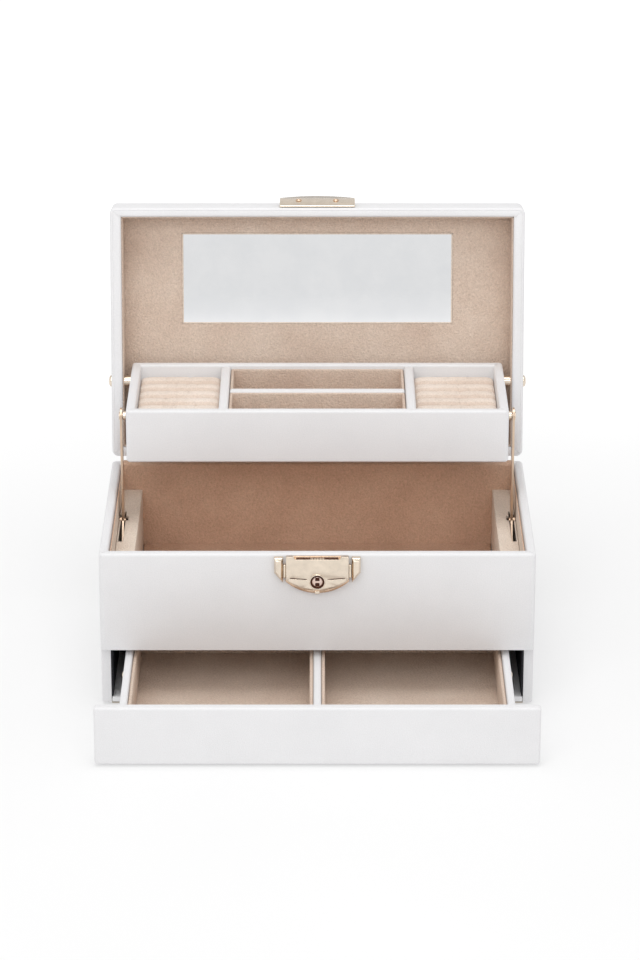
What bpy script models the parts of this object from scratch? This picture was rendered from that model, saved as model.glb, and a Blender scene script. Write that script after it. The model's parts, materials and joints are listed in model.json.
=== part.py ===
"""Jewellery chest: a lined case with a lidded compartment, a lift-out tray on two cranked arms and one drawer.

Metres, +Z up, +X to the right, +Y to the back, origin at the centre of the case's underside.
The chest stands open: the lid leans back on its stop, the tray is raised and the drawer is out.
"""

import math

import bmesh
import bpy
from mathutils import Vector

MM = 0.001
GAP = 0.3  # clearance between neighbouring pieces, mm

# Driving dimensions, mm
WIDTH = 230.0
DEPTH = 140.0
RIM_Z = 89.0  # top of the case walls
LID_Z = 89.5  # underside of the closed lid
HINGE_OUT = 0.9  # the hinge axis stands this far behind the back
HINGE_UP = 0.7  # and this far above the closed lid's underside
LID_TALL = 24.0
BOARD = 5.0  # side, lid and tray walls
FRONT_BOARD = 5.7
SKIN = 0.7  # suede linings
FELT_TOP = 1.0
FELT_X = 110.0
FELT_Y = (-63.0, 66.0)
BASE_TOP = 4.3
DRAWER_FRONT_Z = (1.0, 33.0)
PANEL_BOTTOM = 34.0
SHELF_Z = (35.5, 39.5)
RISER_TOP = 73.8
RISER_BOARD = 2.0
RISER_INNER_X = 98.0
RISER_FACE = 1.5
RISER_SLOT_Y = (-14.0, 31.0)  # room for the arm to swing
LINING_TOP = 86.5
LID_OPEN_DEG = 99.7  # from closed to leaning on its stop
DRAWER_OUT = 72.0
TRAY_SIZE = (207.5, 81.0, 29.8)
TRAY_OPEN_MIN = (10.0, 110.2)  # Y and Z of the raised tray's lower front edge
TRAY_PIVOT_ON_LID = (-42.8, 5.26)  # from the hinge axis, in the lid's own Y and Z
ARM_TOP_OPEN = (20.0, 133.7)  # arm rivet when the chest is open, Y and Z
ARM_PIVOT_Z = 72.4
ARM_X = 106.0  # inner face of the arm plate
ARM_THICK = 1.2
ARM_WIDE = 9.0
FORK_REACH = 67.4
SHANK_R = 1.5
HOLE_R = SHANK_R + GAP
DRAWER_SIDE_X = 102.0
DRAWER_LONG = 133.0
RIVET_HEAD_R = 3.0
HINGE_X = 68.0
HINGE_WIDE = 30.0
KNUCKLE_R = 2.2
HINGE_PIN_R = 0.9
LEAF_TALL = 12.9
LOCK_TOP = 89.0
LOCK_TALL = 20.6
LOCK_SIDE_TALL = 14.0
COVER_WIDE = 32.9
KEY_Z = 75.0
KEY_R = 3.2
STRIKE_WIDE = 41.7
MIRROR_WIDE = 151.0
MIRROR_Y = (11.2, 61.8)  # from the inside of the lid's front rail
ROUND_SIDES = 20

HALF_W = WIDTH / 2
HALF_D = DEPTH / 2
AXIS_Y = HALF_D + HINGE_OUT
AXIS_Z = LID_Z + HINGE_UP
WALL_IN_X = HALF_W - BOARD
LINED_X = WALL_IN_X - GAP  # outer face of whatever is glued to a side wall
FRONT_IN_Y = -HALF_D + FRONT_BOARD + GAP
BACK_IN_Y = HALF_D - BOARD + 0.2
DRAWER_FACE_Y = -HALF_D - DRAWER_OUT


def remove_all():
    for thing in list(bpy.data.objects):
        bpy.data.objects.remove(thing, do_unlink=True)


def principled(name, color, roughness, metallic=0.0):
    """One plain material."""
    made = bpy.data.materials.new(name)
    made.use_nodes = True
    shader = made.node_tree.nodes["Principled BSDF"]
    shader.inputs["Base Color"].default_value = (*color, 1.0)
    shader.inputs["Roughness"].default_value = roughness
    shader.inputs["Metallic"].default_value = metallic
    return made


def turn(y, z, degrees):
    """A point of the Y-Z plane turned about +X."""
    a = math.radians(degrees)
    return y * math.cos(a) - z * math.sin(a), y * math.sin(a) + z * math.cos(a)


def lid_point(y, z, closing_degrees=0.0):
    """Where a point of the lid's own Y and Z is, counted from the open pose."""
    turned = turn(y, z, closing_degrees - LID_OPEN_DEG)
    return AXIS_Y + turned[0], AXIS_Z + turned[1]


def arm_pivot():
    """The point at ARM_PIVOT_Z that is as far from the arm rivet open as closed."""
    a_open = lid_point(*TRAY_PIVOT_ON_LID)
    a_closed = lid_point(*TRAY_PIVOT_ON_LID, LID_OPEN_DEG)
    move = Vector((a_closed[0] - a_open[0], a_closed[1] - a_open[1]))
    middle = Vector(ARM_TOP_OPEN) + move / 2
    across = Vector((-move.y, move.x)).normalized()
    along = (ARM_PIVOT_Z - middle.y) / across.y
    return middle.x + across.x * along, ARM_PIVOT_Z


PIVOT_Y, PIVOT_Z = arm_pivot()
ARM_LONG = math.dist((PIVOT_Y, PIVOT_Z), ARM_TOP_OPEN)


def arm_swing():
    """Degrees the arm turns while the lid closes."""
    a_open = lid_point(*TRAY_PIVOT_ON_LID)
    a_closed = lid_point(*TRAY_PIVOT_ON_LID, LID_OPEN_DEG)
    return 2 * math.degrees(math.asin(math.dist(a_open, a_closed) / 2 / ARM_LONG))


SWING = arm_swing()
DRIVE_Z = PIVOT_Z - DRAWER_OUT / 2 / math.tan(math.radians(SWING / 2))
DRIVE_Y_OPEN = PIVOT_Y - DRAWER_OUT / 2


def new_object(name, mesh, material, parent=None, at=(0, 0, 0)):
    made = bpy.data.objects.new(name, mesh)
    bpy.context.scene.collection.objects.link(made)
    made.parent = parent
    made.location = Vector(at) * MM
    if material:
        mesh.materials.append(material)
    return made


def pivot(name, at, turned_x=0.0):
    """An empty on a joint's axis."""
    made = bpy.data.objects.new(name, None)
    bpy.context.scene.collection.objects.link(made)
    made.location = Vector(at) * MM
    made.rotation_euler.x = math.radians(turned_x)
    return made


def box(name, low, high, material, parent=None, origin=(0, 0, 0)):
    """A board between two corners, in the frame whose origin is given; origin is where the parent stands."""
    low = Vector(low) - Vector(origin)
    high = Vector(high) - Vector(origin)
    middle = (low + high) / 2
    bm = bmesh.new()
    bmesh.ops.create_cube(bm, size=MM)
    bmesh.ops.scale(bm, vec=high - low, verts=bm.verts)
    mesh = bpy.data.meshes.new(name)
    bm.to_mesh(mesh)
    bm.free()
    return new_object(name, mesh, material, parent, middle)


def prism(name, outline, axis, start, end, material, parent=None, origin=(0, 0, 0)):
    """An outline extruded along 'X' (outline in Y, Z) or 'Y' (outline in X, Z)."""
    bm = bmesh.new()
    rings = []
    for level in (start, end):
        ring = []
        for u, v in outline:
            point = (level, u, v) if axis == "X" else (u, level, v)
            ring.append(bm.verts.new((Vector(point) - Vector(origin)) * MM))
        rings.append(ring)
    count = len(outline)
    for i in range(count):
        j = (i + 1) % count
        bm.faces.new((rings[0][i], rings[0][j], rings[1][j], rings[1][i]))
    bm.faces.new(rings[0])
    bm.faces.new(rings[1])
    bmesh.ops.recalc_face_normals(bm, faces=bm.faces)
    mesh = bpy.data.meshes.new(name)
    bm.to_mesh(mesh)
    bm.free()
    return new_object(name, mesh, material, parent)


def circle(u, v, radius, sides=ROUND_SIDES):
    return [
        (u + radius * math.cos(2 * math.pi * i / sides), v + radius * math.sin(2 * math.pi * i / sides))
        for i in range(sides)
    ]


def turned(name, profile, axis, centre, material, parent=None, origin=(0, 0, 0)):
    """A round piece: profile is (distance along the axis, radius), closed at both ends by a flat cap."""
    bm = bmesh.new()
    rings = []
    for along, radius in profile:
        ring = []
        for u, v in circle(centre[0], centre[1], radius):
            point = (along, u, v) if axis == "X" else (u, along, v)
            ring.append(bm.verts.new((Vector(point) - Vector(origin)) * MM))
        rings.append(ring)
    for first, second in zip(rings, rings[1:]):
        for i in range(ROUND_SIDES):
            j = (i + 1) % ROUND_SIDES
            bm.faces.new((first[i], first[j], second[j], second[i]))
    bm.faces.new(rings[0])
    bm.faces.new(rings[-1])
    bmesh.ops.recalc_face_normals(bm, faces=bm.faces)
    mesh = bpy.data.meshes.new(name)
    bm.to_mesh(mesh)
    bm.free()
    mesh.shade_smooth()
    mesh.set_sharp_from_angle(angle=math.radians(35))
    return new_object(name, mesh, material, parent)


def boolean(target, tool, operation):
    """Cut or join with a hidden helper."""
    tool.hide_render = True
    tool.display_type = "WIRE"
    change = target.modifiers.new(tool.name, "BOOLEAN")
    change.operation = operation
    change.object = tool
    change.solver = "EXACT"


def dome(face, toward, radius, rise):
    """Profile of a domed head that stands on a face."""
    steps = [(0.0, 1.0), (0.35, 0.97), (0.7, 0.78), (0.93, 0.45), (1.0, 0.12)]
    return [(face + toward * rise * up, radius * wide) for up, wide in steps]


def rounded(outline_width, top, side_tall, tall, steps=14):
    """A plate with a flat top, straight sides and an arched lower edge, as X and Z."""
    half = outline_width / 2
    sagitta = tall - side_tall
    radius = (half * half + sagitta * sagitta) / 2 / sagitta
    spread = math.asin(half / radius)
    points = [(half, top), (-half, top)]
    for i in range(steps + 1):
        a = -spread + 2 * spread * i / steps
        points.append((radius * math.sin(a), top - tall + radius * (1 - math.cos(a))))
    return points


def make_case(mat):
    """The carcass: felt foot, boards, shelf, linings and the two side risers."""
    wide = LINED_X
    box("base_felt", (-FELT_X, FELT_Y[0], 0), (FELT_X, FELT_Y[1], FELT_TOP), mat["felt"])
    box("base_board", (-wide, FRONT_IN_Y, FELT_TOP + GAP), (wide, BACK_IN_Y - GAP, BASE_TOP), mat["leather"])
    back = box("back_panel", (-wide, BACK_IN_Y, FELT_TOP + GAP), (wide, HALF_D, RIM_Z), mat["leather"])
    for sign in (-1, 1):
        knuckle = prism(
            f"case_knuckle_cutter_{sign}", circle(AXIS_Y, AXIS_Z, KNUCKLE_R + 2 * GAP), "X",
            sign * HINGE_X - HINGE_WIDE / 2 - 0.5, sign * HINGE_X + HINGE_WIDE / 2 + 0.5, None,
        )
        boolean(back, knuckle, "DIFFERENCE")
    box("front_panel", (-HALF_W, -HALF_D, PANEL_BOTTOM), (HALF_W, -HALF_D + FRONT_BOARD, RIM_Z), mat["leather"])
    shelf = box("shelf_board", (-wide, FRONT_IN_Y, SHELF_Z[0]), (wide, BACK_IN_Y - GAP, SHELF_Z[1]), mat["leather"])
    floor = SHELF_Z[1] + GAP
    lining_front = FRONT_IN_Y + SKIN
    lining_back = BACK_IN_Y - GAP - SKIN
    lining = box(
        "compartment_lining", (-wide, FRONT_IN_Y, floor), (wide, lining_back + SKIN, LINING_TOP), mat["suede"],
    )
    hollow = box(
        "lining_hollow_cutter", (SKIN - wide, lining_front, floor - 5), (wide - SKIN, lining_back, LINING_TOP + 5),
        None,
    )
    boolean(lining, hollow, "DIFFERENCE")
    inner = (lining_front + GAP, lining_back - GAP)
    box(
        "compartment_floor_pad",
        (-RISER_INNER_X + GAP, inner[0], floor), (RISER_INNER_X - GAP, inner[1], floor + 1.5), mat["suede"],
    )
    for side, sign in (("left", -1), ("right", 1)):
        make_case_side(mat, shelf, side, sign, inner, floor)


def span(sign, near, far):
    """An X range on one side, lower value first."""
    return (sign * far, sign * near) if sign < 0 else (near, far)


def make_case_side(mat, shelf, side, sign, inner, floor):
    """What the left and right of the case have each: wall, riser, slots and the arm's pivot pin."""
    x = span(sign, WALL_IN_X, HALF_W)
    box(f"side_panel_{side}", (x[0], FRONT_IN_Y, FELT_TOP + GAP), (x[1], HALF_D, RIM_Z), mat["leather"])
    riser_out = LINED_X - SKIN - GAP
    outline = [
        (sign * RISER_INNER_X, floor),
        (sign * (RISER_INNER_X + RISER_FACE), floor),
        (sign * (RISER_INNER_X + RISER_FACE), RISER_TOP - RISER_BOARD),
        (sign * riser_out, RISER_TOP - RISER_BOARD),
        (sign * riser_out, RISER_TOP),
        (sign * RISER_INNER_X, RISER_TOP),
    ]
    riser = prism(f"riser_{side}", outline, "Y", inner[0], inner[1], mat["suede"])
    x = span(sign, ARM_X - 0.7, ARM_X + ARM_THICK + 0.7)
    top_slot = box(
        f"riser_slot_cutter_{side}", (x[0], RISER_SLOT_Y[0], RISER_TOP - 4),
        (x[1], RISER_SLOT_Y[1], RISER_TOP + 2), None,
    )
    boolean(riser, top_slot, "DIFFERENCE")
    x = span(sign, ARM_X - 2.1, HALF_W)
    notch = box(
        f"riser_notch_cutter_{side}",
        (x[0], PIVOT_Y - 3.6, RISER_TOP - 4), (x[1], PIVOT_Y + 3.6, RISER_TOP + 2), None,
    )
    boolean(riser, notch, "DIFFERENCE")
    x = span(sign, ARM_X - 1.1, ARM_X + ARM_THICK + 1.1)
    reach = (PIVOT_Z - SHELF_Z[0]) * math.tan(math.radians(SWING / 2)) + ARM_WIDE
    shelf_slot = box(f"shelf_slot_cutter_{side}", (x[0], PIVOT_Y - reach, 30), (x[1], PIVOT_Y + reach, 45), None)
    boolean(shelf, shelf_slot, "DIFFERENCE")
    profile = [
        (sign * riser_out, 2.8), (sign * 107.6, 2.8),
        (sign * 107.6, SHANK_R), (sign * 105.6, SHANK_R), (sign * 105.6, 2.8), (sign * 104.9, 2.6),
        (sign * 104.5, 1.6),
    ]
    turned(f"arm_pivot_pin_{side}", profile, "X", (PIVOT_Y, PIVOT_Z), mat["gold"])


def make_hinges(mat, lid):
    """Two butt hinges: a leaf on the case, a leaf on the lid and the pin between them."""
    axis_at = (0, AXIS_Y, AXIS_Z)
    third = HINGE_WIDE / 3
    leaf_top = AXIS_Z - KNUCKLE_R - 0.4
    for side, sign in (("left", -1), ("right", 1)):
        middle = sign * HINGE_X
        leaf = box(
            f"hinge_case_leaf_{side}",
            (middle - HINGE_WIDE / 2, HALF_D + GAP, leaf_top - LEAF_TALL),
            (middle + HINGE_WIDE / 2, HALF_D + 1.2, leaf_top), mat["gold"],
        )
        strap = box(
            f"case_strap_joiner_{side}",
            (middle - third / 2 + 3 * GAP, HALF_D + 0.5, leaf_top - 2),
            (middle + third / 2 - 3 * GAP, HALF_D + 1, AXIS_Z - 0.5), None,
        )
        boolean(leaf, strap, "UNION")
        tube = prism(
            f"case_tube_joiner_{side}", circle(AXIS_Y, AXIS_Z, KNUCKLE_R), "X",
            middle - third / 2 + GAP, middle + third / 2 - GAP, None,
        )
        boolean(leaf, tube, "UNION")
        bore = prism(
            f"case_bore_cutter_{side}", circle(AXIS_Y, AXIS_Z, HINGE_PIN_R + GAP), "X",
            middle - HINGE_WIDE, middle + HINGE_WIDE, None,
        )
        boolean(leaf, bore, "DIFFERENCE")
        turned(
            f"hinge_pin_{side}",
            [(middle - HINGE_WIDE / 2, HINGE_PIN_R), (middle + HINGE_WIDE / 2, HINGE_PIN_R)],
            "X", (AXIS_Y, AXIS_Z), mat["gold"],
        )
        make_lid_leaf(mat, lid, axis_at, side, middle, third)


def make_lid_leaf(mat, lid, axis_at, side, middle, third):
    """The leaf on the closed lid's back, in the lid's own frame."""
    leaf_low = AXIS_Z + KNUCKLE_R + 0.4
    leaf = box(
        f"hinge_lid_leaf_{side}",
        (middle - HINGE_WIDE / 2, HALF_D + GAP, leaf_low),
        (middle + HINGE_WIDE / 2, HALF_D + 1.2, leaf_low + LEAF_TALL), mat["gold"], lid, axis_at,
    )
    for place, inward in (("outer", -1), ("inner", 1)):
        near = middle + inward * (third / 2 + GAP / 2)
        far = middle + inward * HINGE_WIDE / 2
        low, high = min(near, far), max(near, far)
        strap = box(
            f"lid_strap_joiner_{side}_{place}",
            (low + 2 * GAP, HALF_D + 0.5, AXIS_Z + 0.5), (high - 2 * GAP, HALF_D + 1, leaf_low + 2),
            None, lid, axis_at,
        )
        boolean(leaf, strap, "UNION")
        tube = prism(
            f"lid_tube_joiner_{side}_{place}", circle(AXIS_Y, AXIS_Z, KNUCKLE_R), "X", low, high,
            None, lid, axis_at,
        )
        boolean(leaf, tube, "UNION")
    bore = prism(
        f"lid_bore_cutter_{side}", circle(AXIS_Y, AXIS_Z, HINGE_PIN_R + GAP), "X",
        middle - HINGE_WIDE, middle + HINGE_WIDE, None, lid, axis_at,
    )
    boolean(leaf, bore, "DIFFERENCE")


def make_lid(mat):
    """The lid, built closed in the frame of its hinge and swung open by that frame."""
    axis_at = (0, AXIS_Y, AXIS_Z)
    lid = pivot("lid_hinge_axis", axis_at, -LID_OPEN_DEG)
    top = LID_Z + LID_TALL
    panel_z = top - 3.7
    lining_z = LID_Z + 18.5
    rail_top = panel_z - GAP
    box("lid_top_panel", (-HALF_W, -HALF_D, panel_z), (HALF_W, HALF_D, top), mat["leather"], lid, axis_at)
    front_in = -HALF_D + 5.5
    box(
        "lid_front_rail", (-HALF_W, -HALF_D, LID_Z), (HALF_W, front_in, rail_top), mat["leather"], lid, axis_at,
    )
    back_in = HALF_D - 5.5
    back = box(
        "lid_back_rail", (-HALF_W, back_in, LID_Z), (HALF_W, HALF_D, rail_top), mat["leather"], lid, axis_at,
    )
    for sign in (-1, 1):
        knuckle = prism(
            f"lid_knuckle_cutter_{sign}", circle(AXIS_Y, AXIS_Z, KNUCKLE_R + 2 * GAP), "X",
            sign * HINGE_X - HINGE_WIDE / 2 - 0.5, sign * HINGE_X + HINGE_WIDE / 2 + 0.5, None, lid, axis_at,
        )
        boolean(back, knuckle, "DIFFERENCE")
    inside = (front_in + GAP, back_in - GAP)
    lining = box(
        "lid_lining_panel", (-LINED_X, inside[0], lining_z), (LINED_X, inside[1], panel_z - GAP),
        mat["suede"], lid, axis_at,
    )
    mirror_x = MIRROR_WIDE / 2
    mirror_y = (front_in + MIRROR_Y[0], front_in + MIRROR_Y[1])
    window = box(
        "mirror_window_cutter", (-mirror_x - GAP, mirror_y[0] - GAP, lining_z - 2),
        (mirror_x + GAP, mirror_y[1] + GAP, panel_z + 2), None, lid, axis_at,
    )
    boolean(lining, window, "DIFFERENCE")
    box(
        "mirror", (-mirror_x, mirror_y[0], lining_z + 0.3), (mirror_x, mirror_y[1], panel_z - GAP),
        mat["mirror"], lid, axis_at,
    )
    pivot_y = AXIS_Y + TRAY_PIVOT_ON_LID[0]
    pivot_z = AXIS_Z + TRAY_PIVOT_ON_LID[1]
    for side, sign in (("left", -1), ("right", 1)):
        x = span(sign, WALL_IN_X, HALF_W)
        rail = box(
            f"lid_side_rail_{side}", (x[0], inside[0], LID_Z), (x[1], inside[1], rail_top),
            mat["leather"], lid, axis_at,
        )
        hole = prism(
            f"lid_rail_hole_cutter_{side}", circle(pivot_y, pivot_z, HOLE_R), "X", sign * 90, sign * 130,
            None, lid, axis_at,
        )
        boolean(rail, hole, "DIFFERENCE")
        profile = [
            (sign * 100.2, SHANK_R), (sign * 104.1, SHANK_R), (sign * 104.1, RIVET_HEAD_R),
            (sign * 108.6, RIVET_HEAD_R), (sign * 108.6, SHANK_R), (sign * (HALF_W + GAP), SHANK_R),
        ]
        profile += dome(sign * (HALF_W + GAP), sign, RIVET_HEAD_R, 1.6)
        turned(f"tray_pivot_rivet_{side}", profile, "X", (pivot_y, pivot_z), mat["gold"], lid, axis_at)
    make_strike(mat, lid, axis_at)
    return lid


def make_strike(mat, lid, axis_at):
    """The arched strike plate on the lid's front wall."""
    face = -HALF_D - GAP
    low, fold, high = LID_Z + 0.8, LID_Z + 9.0, LID_Z + 17.0
    section = [(face, low), (face - 0.9, low), (face - 3.2, fold), (face - 4.4, high), (face, high)]
    plate = prism(
        "strike_plate", section, "X", -STRIKE_WIDE / 2, STRIKE_WIDE / 2, mat["gold"], lid, axis_at,
    )
    crown = rounded(STRIKE_WIDE, 0.0, 12.0, high - low)
    crown = [(x, low - z) for x, z in crown]
    arch = prism("strike_arch_cutter", crown, "Y", face - 10, face + 10, None, lid, axis_at)
    boolean(plate, arch, "INTERSECT")


def pocket_span():
    """The window the arm rivet needs in the tray's side, as low and high Y and Z, raised-tray place."""
    ys, zs = [], []
    start = lid_point(*TRAY_PIVOT_ON_LID)
    for step in range(41):
        share = step / 40
        here = lid_point(*TRAY_PIVOT_ON_LID, LID_OPEN_DEG * share)
        arm = turn(ARM_TOP_OPEN[0] - PIVOT_Y, ARM_TOP_OPEN[1] - PIVOT_Z, SWING * share)
        ys.append(PIVOT_Y + arm[0] - (here[0] - start[0]))
        zs.append(PIVOT_Z + arm[1] - (here[1] - start[1]))
    room = SHANK_R + 2 * GAP
    return min(ys) - room, max(ys) + room, min(zs) - room, max(zs) + room


def make_tray(mat):
    """The lifting tray: four walls, a bottom, three dividers, a floor liner and two ring pads."""
    at = (0, *lid_point(*TRAY_PIVOT_ON_LID))
    tray = pivot("tray_pivot_axis", at)
    half = TRAY_SIZE[0] / 2
    y0, z0 = TRAY_OPEN_MIN
    y1 = y0 + TRAY_SIZE[1]
    z1 = z0 + TRAY_SIZE[2]
    floor = z0 + 2.3
    box("tray_bottom", (-half, y0, z0), (half, y1, z0 + 2), mat["leather"], tray, at)
    box("tray_front", (-half, y0, floor), (half, y0 + BOARD, z1), mat["leather"], tray, at)
    box("tray_back", (-half, y1 - BOARD, floor), (half, y1, z1), mat["leather"], tray, at)
    inside = (y0 + BOARD + GAP, y1 - BOARD - GAP)
    pocket = pocket_span()
    for side, sign in (("left", -1), ("right", 1)):
        x = span(sign, half - BOARD, half)
        wall = box(f"tray_side_{side}", (x[0], inside[0], floor), (x[1], inside[1], z1), mat["leather"], tray, at)
        hole = prism(
            f"tray_pivot_hole_cutter_{side}", circle(at[1], at[2], HOLE_R), "X", sign * 99.8, sign * 110,
            None, tray, at,
        )
        boolean(wall, hole, "DIFFERENCE")
        x = span(sign, half - 3, half + 5)
        window = box(
            f"tray_pocket_cutter_{side}", (x[0], pocket[0], pocket[2]), (x[1], pocket[1], pocket[3]), None, tray, at,
        )
        boolean(wall, window, "DIFFERENCE")
        x = span(sign, 48.5, 53.7)
        box(f"tray_divider_{side}", (x[0], inside[0], floor), (x[1], inside[1], z1 - 0.6), mat["leather"], tray, at)
        x = span(sign, 53.7 + GAP, half - BOARD - GAP)
        box(
            f"ring_pad_{side}", (x[0], inside[0] + GAP, floor), (x[1], inside[1] - GAP, z1 - 5.6),
            mat["velvet"], tray, at,
        )
    wide = 48.5 - GAP
    split = (46.5, 51.5)
    box("tray_liner", (-wide, inside[0], floor), (wide, inside[1], floor + 1), mat["suede"], tray, at)
    low = floor + 1 + GAP
    box("tray_divider_long", (-wide, split[0], low), (wide, split[1], z1 - 1.5), mat["leather"], tray, at)


def make_arms(mat):
    """The two cranked arms: the upper limb lifts the tray, the forked lower limb drives the drawer."""
    down = Vector((DRIVE_Y_OPEN - PIVOT_Y, DRIVE_Z - PIVOT_Z)).normalized()
    across = Vector((-down.y, down.x))
    up = Vector((ARM_TOP_OPEN[0] - PIVOT_Y, ARM_TOP_OPEN[1] - PIVOT_Z)).normalized()
    drop = PIVOT_Z - DRIVE_Z
    lag = max(
        abs(DRAWER_OUT / 2 * share * math.cos(math.radians(SWING / 2 * share))
            - drop * math.sin(math.radians(SWING / 2 * share)))
        for share in (i / 20 for i in range(21))
    )
    slot = SHANK_R + lag + 0.5
    cheek = slot + 2.4
    for side, sign in (("left", -1), ("right", 1)):
        at = (0, PIVOT_Y, PIVOT_Z)
        axis = pivot(f"arm_axis_{side}", at)
        near, far = sign * ARM_X, sign * (ARM_X + ARM_THICK)
        arm = prism(
            f"lift_arm_{side}", capsule(Vector((PIVOT_Y, PIVOT_Z)), up, ARM_LONG, ARM_WIDE / 2), "X",
            near, far, mat["gold"], axis, at,
        )
        lever = prism(
            f"arm_lever_joiner_{side}", bar(down, across, -2, FORK_REACH, ARM_WIDE / 2, cheek), "X",
            near, far, None, axis, at,
        )
        boolean(arm, lever, "UNION")
        fork = prism(
            f"arm_fork_cutter_{side}", bar(down, across, drop - SHANK_R - 1, FORK_REACH + 5, slot, slot), "X",
            sign * 100, sign * 112, None, axis, at,
        )
        boolean(arm, fork, "DIFFERENCE")
        for place, centre in (("pivot", (PIVOT_Y, PIVOT_Z)), ("top", ARM_TOP_OPEN)):
            hole = prism(
                f"arm_{place}_hole_cutter_{side}", circle(*centre, HOLE_R), "X", sign * 100, sign * 112,
                None, axis, at,
            )
            boolean(arm, hole, "DIFFERENCE")
        head = ARM_X + ARM_THICK + GAP
        profile = [(sign * 101.6, SHANK_R), (sign * 105.2, SHANK_R), (sign * 105.2, 2.3), (sign * 105.7, 2.3)]
        profile += [(sign * 105.7, SHANK_R), (sign * head, SHANK_R)]
        profile += dome(sign * head, sign, 2.3, 1.1)
        turned(f"arm_rivet_{side}", profile, "X", ARM_TOP_OPEN, mat["gold"], axis, at)


def capsule(start, direction, length, radius, steps=8):
    """A bar with round ends, as points of the Y-Z plane."""
    across = Vector((-direction.y, direction.x))
    points = []
    for centre, forward in ((start + direction * length, 1), (start, -1)):
        for i in range(steps + 1):
            a = math.pi * i / steps
            points.append(tuple(centre + (-across * math.cos(a) + direction * math.sin(a)) * radius * forward))
    return points


def bar(direction, across, start, end, half_start, half_end):
    """A tapered bar that leaves the arm's pivot along a direction."""
    centre = Vector((PIVOT_Y, PIVOT_Z))
    widening = start + (end - start) * 0.72
    return [
        tuple(centre + direction * start - across * half_start),
        tuple(centre + direction * widening - across * half_end),
        tuple(centre + direction * end - across * half_end),
        tuple(centre + direction * end + across * half_end),
        tuple(centre + direction * widening + across * half_end),
        tuple(centre + direction * start + across * half_start),
    ]


def make_drawer(mat):
    """The full-width drawer, pulled out, with two lined compartments."""
    at = (0, DRAWER_FACE_Y, 0)
    drawer = pivot("drawer_slide_origin", at)
    back = DRAWER_FACE_Y + DRAWER_LONG
    body = DRAWER_FACE_Y + FRONT_BOARD + GAP
    side_in = DRAWER_SIDE_X - 4
    floor = 7.0
    front_x = HALF_W - 0.2
    box(
        "drawer_front", (-front_x, DRAWER_FACE_Y, DRAWER_FRONT_Z[0]),
        (front_x, DRAWER_FACE_Y + FRONT_BOARD, DRAWER_FRONT_Z[1]), mat["leather"], drawer, at,
    )
    box(
        "drawer_bottom", (-DRAWER_SIDE_X, body, BASE_TOP + 0.4), (DRAWER_SIDE_X, back, floor - GAP),
        mat["leather"], drawer, at,
    )
    box("drawer_back", (-side_in + GAP, back - 4, floor), (side_in - GAP, back, 31), mat["leather"], drawer, at)
    inside_back = back - 4 - GAP
    liner_x = side_in - GAP
    box("drawer_liner", (-liner_x, body, floor), (liner_x, inside_back, floor + 1), mat["suede"], drawer, at)
    box(
        "drawer_divider", (-2.05, body, floor + 1 + GAP), (2.05, inside_back, 30.5), mat["leather"], drawer, at,
    )
    for side, sign in (("left", -1), ("right", 1)):
        x = span(sign, side_in, DRAWER_SIDE_X)
        box(f"drawer_side_{side}", (x[0], body, floor), (x[1], back, 31), mat["leather"], drawer, at)
        skin = sign * (DRAWER_SIDE_X + GAP)
        pin = [(skin, 3.0), (skin + sign, 3.0), (skin + sign, SHANK_R), (sign * 107.8, SHANK_R)]
        turned(f"drive_pin_{side}", pin, "X", (DRIVE_Y_OPEN, DRIVE_Z), mat["gold"], drawer, at)
        turned(
            f"glide_button_{side}", dome(skin, sign, 2.4, 1.7), "X", (DRAWER_FACE_Y + 71.5, 20), mat["gold"],
            drawer, at,
        )


def make_lock(mat):
    """The half-moon lock: base plate, cover plate, key barrel and two side release slides."""
    face = -HALF_D - GAP
    outline = rounded(COVER_WIDE, LOCK_TOP, LOCK_SIDE_TALL, LOCK_TALL)
    prism("lock_base_plate", outline, "Y", face, face - 0.8, mat["gold"])
    cover = prism("lock_cover_plate", outline, "Y", face - 0.8 - GAP, face - 4.2, mat["gold"])
    bore = prism("lock_bore_cutter", circle(0, KEY_Z, KEY_R + GAP), "Y", face + 5, face - 9, None)
    boolean(cover, bore, "DIFFERENCE")
    slot = box(
        "lock_slot_cutter", (-12.2, face - 3.4, LOCK_TOP - 3), (12.2, face - 1.8, LOCK_TOP + 2), None,
    )
    boolean(cover, slot, "DIFFERENCE")
    turned(
        "key_barrel", [(face - 0.8 - GAP, KEY_R), (face - 4.3, KEY_R), (face - 4.6, KEY_R - 0.5)], "Y",
        (0, KEY_Z), mat["gold"],
    )
    for side, sign in (("left", -1), ("right", 1)):
        wing = [
            (sign * 18.1, LOCK_TOP - 1.0), (sign * 22.7, LOCK_TOP - 1.0), (sign * 22.7, LOCK_TOP - 9.6),
            (sign * 18.1, LOCK_TOP - 15.2),
        ]
        prism(f"release_slide_{side}", wing, "Y", face, face - 4.0, mat["gold"])


def main():
    remove_all()
    mat = {
        "leather": principled("white_leatherette", (0.82, 0.82, 0.83), 0.5),
        "suede": principled("tan_suede", (0.56, 0.40, 0.30), 0.95),
        "velvet": principled("cream_velvet", (0.84, 0.72, 0.58), 0.95),
        "felt": principled("base_felt", (0.62, 0.55, 0.48), 0.95),
        "gold": principled("pale_gold", (0.82, 0.70, 0.52), 0.25, 1.0),
        "mirror": principled("mirror_glass", (0.9, 0.91, 0.92), 0.03, 1.0),
    }
    make_case(mat)
    lid = make_lid(mat)
    make_hinges(mat, lid)
    make_tray(mat)
    make_arms(mat)
    make_drawer(mat)
    make_lock(mat)


main()
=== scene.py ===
"""The jewellery chest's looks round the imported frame: leatherette, suede, velvet rolls, gold fittings."""

import json
import math

import bmesh
import bpy
from mathutils import Matrix, Vector, noise


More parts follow.
